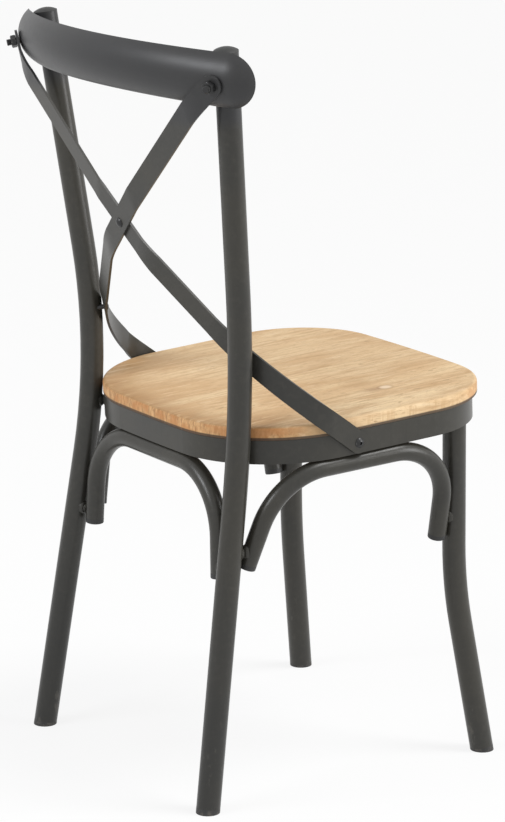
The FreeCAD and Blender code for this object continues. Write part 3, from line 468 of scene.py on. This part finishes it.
def turned(name, outline):
    """A turned body: an outline of radius and height, drawn point by point and spun round Z."""
    bpy.ops.object.select_all(action="DESELECT")
    bpy.ops.mesh.primitive_plane_add(size=MM)
    piece = bpy.context.active_object
    piece.name = name
    bpy.ops.object.mode_set(mode="EDIT")
    bpy.ops.mesh.merge(type="CENTER")
    bpy.ops.transform.translate(value=(outline[0][0], 0, outline[0][1]))
    for (radius, height), (next_radius, next_height) in zip(outline, outline[1:]):
        step = (next_radius - radius, 0, next_height - height)
        bpy.ops.mesh.extrude_region_move(TRANSFORM_OT_translate={"value": step})
    bpy.ops.mesh.select_all(action="SELECT")
    bpy.ops.mesh.spin(steps=ROUND_STEPS, angle=2 * math.pi, center=(0, 0, 0), axis=(0, 0, 1))
    bpy.ops.mesh.select_all(action="SELECT")
    bpy.ops.mesh.remove_doubles(threshold=MM / 1000)
    bpy.ops.mesh.normals_make_consistent(inside=False)
    bpy.ops.object.mode_set(mode="OBJECT")
    return piece


def combine(piece, other, operation):
    """Cut a piece by another, or keep what they share, and remove the other."""
    only(piece)
    bpy.ops.object.modifier_add(type="BOOLEAN")
    modifier = piece.modifiers[-1]
    modifier.operation = operation
    modifier.object = other
    bpy.ops.object.modifier_apply(modifier=modifier.name)
    bpy.data.objects.remove(other, do_unlink=True)


def finish_piece(piece, slot, *replaced):
    """Shade and dress a new piece, attach it to the root, and hide the CAD pieces that it takes the place
    of.
    """
    only(piece)
    bpy.ops.object.shade_smooth_by_angle(angle=CREASE_ANGLE)
    dress(piece, slot)
    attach(piece, "root")
    if replaced:
        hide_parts(*replaced)


# Bolts and nuts in full detail, in the places of the plain ones

THREAD_PITCH = 1.25 * MM
THREAD_DEPTH = 0.5 * MM
# The chamfer at a thread's tip, and how far before it the last ridge may end
TIP_HEIGHT = 0.9 * MM
TIP_DEPTH = 0.8 * MM
LAST_RIDGE = 0.4 * MM
# The socket is cut from above the head down into it, both counted along the bolt from the head's rim
SOCKET_WIDTH = 3.5 * MM
SOCKET_MOUTH = -3.6 * MM
SOCKET_FLOOR = -1 * MM
# A hexagon's size across its corners, as a share of that across its flats
HEX_CORNERS = 2 / math.sqrt(3)
# The width of a nut's flat face as a share of its own, and how far the turned form passes its corners
NUT_FACE_SHARE = 0.95
CORNER_MARGIN = 0.2 * MM
BORE_CHAMFER = 0.7 * MM
CHAMFER_ANGLE = math.radians(30)


def head(radius, rise):
    """Points of a low domed head that hangs below its rim at height 0, from its top to its rim."""
    ball = (radius ** 2 + rise ** 2) / (2 * rise)
    half = math.asin(radius / ball)
    angles = [half * step / DOME_STEPS for step in range(DOME_STEPS + 1)]
    return [(ball * math.sin(angle), ball - rise - ball * math.cos(angle)) for angle in angles]


def thread(radius, start, end):
    """Points of a thread's ridges from start to end, with a chamfered tip."""
    root = radius - THREAD_DEPTH
    points = [(radius, start)]
    height = start
    while height + THREAD_PITCH < end - LAST_RIDGE:
        for level, share in ((radius, 0.1), (root, 0.5), (root, 0.62), (radius, 1)):
            points.append((level, height + THREAD_PITCH * share))
        height += THREAD_PITCH
    return points + [(radius, end - TIP_HEIGHT), (radius - TIP_DEPTH, end), (0, end)]


def hex_bar(name, width, bottom, top):
    """A hexagonal bar along Z, of this width across its flats."""
    bpy.ops.object.select_all(action="DESELECT")
    bpy.ops.mesh.primitive_cylinder_add(vertices=6, radius=width / 2 * HEX_CORNERS, depth=top - bottom,
                                        location=(0, 0, (bottom + top) / 2))
    bar = bpy.context.active_object
    bar.name = name
    bpy.ops.object.transform_apply(location=True, rotation=True, scale=True)
    return bar


def hex_nut(name, width, height, bore):
    """A nut: a hexagonal bar within a turned form that chamfers both faces and sinks the bore's mouths."""
    outside = width / 2 * HEX_CORNERS + CORNER_MARGIN
    face = width / 2 * NUT_FACE_SHARE
    fall = (outside - face) * math.tan(CHAMFER_ANGLE)
    mouth = bore + BORE_CHAMFER
    form = turned(name + "_form", [
        (bore, BORE_CHAMFER), (bore, height - BORE_CHAMFER), (mouth, height), (face, height),
        (outside, height - fall), (outside, fall), (face, 0), (mouth, 0), (bore, BORE_CHAMFER),
    ])
    nut = hex_bar(name, width, -MM / 2, height + MM / 2)
    combine(nut, form, "INTERSECT")
    return nut


def bolt_and_nut(look, side, plain, plain_side, radius, head_size, thread_length, nut_size, socket=False):
    """A bolt and its nut, where the plain bolt's axis, ends and nut are."""
    bolt_node = "%s_bolt_%s" % (plain, plain_side)
    nut_node = "%s_nut_%s" % (plain, plain_side)
    on_axis = centre(cad[bolt_node])
    out = (centre(cad[nut_node]) - on_axis).normalized()
    low, high = reach(cad[bolt_node], out)
    rim = low + head_size[1]
    length = high - rim

    shank = [(radius, 0)] + thread(radius, length - thread_length, length)
    bolt = turned("%s_bolt_%s" % (look, side), head(*head_size) + shank)
    if socket:
        combine(bolt, hex_bar("socket", SOCKET_WIDTH, SOCKET_MOUTH, SOCKET_FLOOR), "DIFFERENCE")
    set_down(bolt, moved_to(rim, on_axis, out), out)
    finish_piece(bolt, "dark_fasteners", bolt_node)

    nut = hex_nut("%s_nut_%s" % (look, side), *nut_size, radius - THREAD_DEPTH / 2)
    set_down(nut, moved_to(reach(cad[nut_node], out)[0], on_axis, out), out)
    finish_piece(nut, "dark_fasteners", nut_node)


# The CAD names the bolts at the ring after their strap, and each strap ends on the other side
for side, strap in (("left", "right"), ("right", "left")):
    bolt_and_nut("coach", side, "rail", side, radius=4 * MM, head_size=(9 * MM, 4 * MM),
                 thread_length=14 * MM, nut_size=(13 * MM, 6.5 * MM))
    bolt_and_nut("button", side, "seat", strap, radius=3 * MM, head_size=(6 * MM, 3 * MM),
                 thread_length=9 * MM, nut_size=(10 * MM, 5 * MM), socket=True)


# Weld beads where the studs meet the tubes and the ring

STUD_RADIUS = 5.5 * MM
# A bead's section: how far past the stud, and how high over the tube, in mm
BEAD = ((-1, -2.6), (3.2, -2.6), (2.6, -0.9), (1.5, 0.9), (0.3, 1.7), (-1, 1.7), (-1, -2.6))
# The pieces at both ends of the studs of each kind, with the side to be filled in
STUD_ENDS = {
    "front": ("front_leg_{}", "side_brace_{}"),
    "side_rear": ("rear_post_{}", "side_brace_{}"),
    "rear": ("rear_post_{}", "rear_brace"),
    "ring": ("rear_post_{}", "seat_ring"),
}

for side in ("left", "right"):
    for joint, ends in STUD_ENDS.items():
        stud = cad["stud_%s_%s" % (joint, side)]
        first, second = (cad[end.format(side)] for end in ends)
        near_first, near_second = (tube.closest_point_on_mesh(centre(stud))[1] for tube in (first, second))
        axis = axis_near(stud, near_second - near_first)
        for number, (tube, out) in enumerate(((first, axis), (second, -axis)), 1):
            wall = tube.ray_cast(middle_on(stud, axis), -out)[1]
            bead = turned("weld_%s_%s_%d" % (joint, side, number),
                          [(STUD_RADIUS + wide * MM, high * MM) for wide, high in BEAD])
            set_down(bead, wall, out)
            finish_piece(bead, "dark_painted_steel")


# Camera at the photograph's angle

# Both in pixels of the photograph
PHOTO_HEIGHT = 822
FOCAL_LENGTH = 3432

SENSOR_WIDTH = 36
AZIMUTH = math.radians(236.0)
ELEVATION = math.radians(14.45)
TARGET = Vector((0.014, -0.008, 0.407))
DISTANCE = 4.119
VIEW_END = 200


def staged(name, data, place, direction):
    """Add a camera or lamp at its place, looking in a direction."""
    made = bpy.data.objects.new(name, data)
    bpy.context.collection.objects.link(made)
    made.location = place
    made.rotation_mode = "QUATERNION"
    made.rotation_quaternion = direction.to_track_quat("-Z", "Y")
    return made


back = Vector((math.sin(AZIMUTH) * math.cos(ELEVATION), -math.cos(AZIMUTH) * math.cos(ELEVATION),
               math.sin(ELEVATION)))
camera_data = bpy.data.cameras.new("camera")
camera_data.sensor_width = SENSOR_WIDTH
camera_data.lens = SENSOR_WIDTH * FOCAL_LENGTH / PHOTO_HEIGHT
camera_data.clip_end = VIEW_END
bpy.context.scene.camera = staged("camera", camera_data, TARGET + back * DISTANCE, -back)


# Floor, world and lamps

FLOOR_RADIUS = 40
FLOOR_SINK = 0.2 * MM
# The share of white that covers the floor where it is seen, and the light of the world on the chair
FLOOR_WHITENING = 0.85
ROOM_LIGHT = 0.4
WHITE = (1, 1, 1, 1)
SUN_POWER = 1.42
SUN_SPREAD = math.radians(22)
SUN_DIRECTION = Vector((0.4, 0.46, -1))


def seen_rays(nodes):
    """1 for rays that show the background: from the camera, in gloss and through glass."""
    camera_ray, glossy_ray, glass_ray = (
        nodes.add("LightPath", {}, out="Is %s Ray" % kind) for kind in ("Camera", "Glossy", "Transmission"))
    return (camera_ray + glossy_ray + glass_ray).clamped()


def pale_floor():
    """A pale matte floor that glows white where it shows as background."""
    f = Finish("pale_floor")
    cloud = f.noise(f.place(), 3, 3)
    f.set("Base Color", f.mix(cloud, (0.86, 0.86, 0.855), (0.88, 0.88, 0.875)))
    f.set("Roughness", 0.9)
    f.set("Specular IOR Level", 0.1)
    white = f.add("Emission", {}, WHITE, 1.0)
    lit = Value(f, f.shader.outputs["BSDF"])
    f.feed(f.output.inputs["Surface"], f.add("MixShader", {}, seen_rays(f) * FLOOR_WHITENING, lit, white))
    return f.material


bpy.ops.mesh.primitive_circle_add(vertices=96, radius=FLOOR_RADIUS, fill_type="NGON",
                                  location=(0, 0, -FLOOR_SINK))
floor = bpy.context.active_object
floor.name = "floor"
floor.data.materials.append(pale_floor())

world = bpy.data.worlds.new("studio")
bpy.context.scene.world = world
world.use_nodes = True
sky = Nodes(world.node_tree)
background = sky.tree.nodes["Background"]
sky.feed(background.inputs["Color"], WHITE)
sky.feed(background.inputs["Strength"], seen_rays(sky) * (1 - ROOM_LIGHT) + ROOM_LIGHT)


def soft_box(name, place, aim, width, height, power, tint=(1, 1, 1)):
    """A large soft lamp that faces its aim."""
    data = bpy.data.lights.new(name, "AREA")
    data.color = tint
    data.shape = "RECTANGLE"
    data.size = width
    data.size_y = height
    data.energy = power
    staged(name, data, place, Vector(aim) - Vector(place))


sun = bpy.data.lights.new("overhead", "SUN")
sun.energy = SUN_POWER
sun.angle = SUN_SPREAD
staged("overhead", sun, (0, 0, 0), SUN_DIRECTION)
soft_box("rear_box", place=(0.3, 2.9, 2.3), aim=(0, 0, 0.7), width=1.7, height=0.8, power=50,
         tint=(0.94, 0.96, 1.0))
soft_box("front_box", place=(-2.1, -2.0, 1.25), aim=(0, 0, 0.5), width=1.1, height=1.4, power=34)

bpy.context.scene.view_settings.view_transform = "Standard"
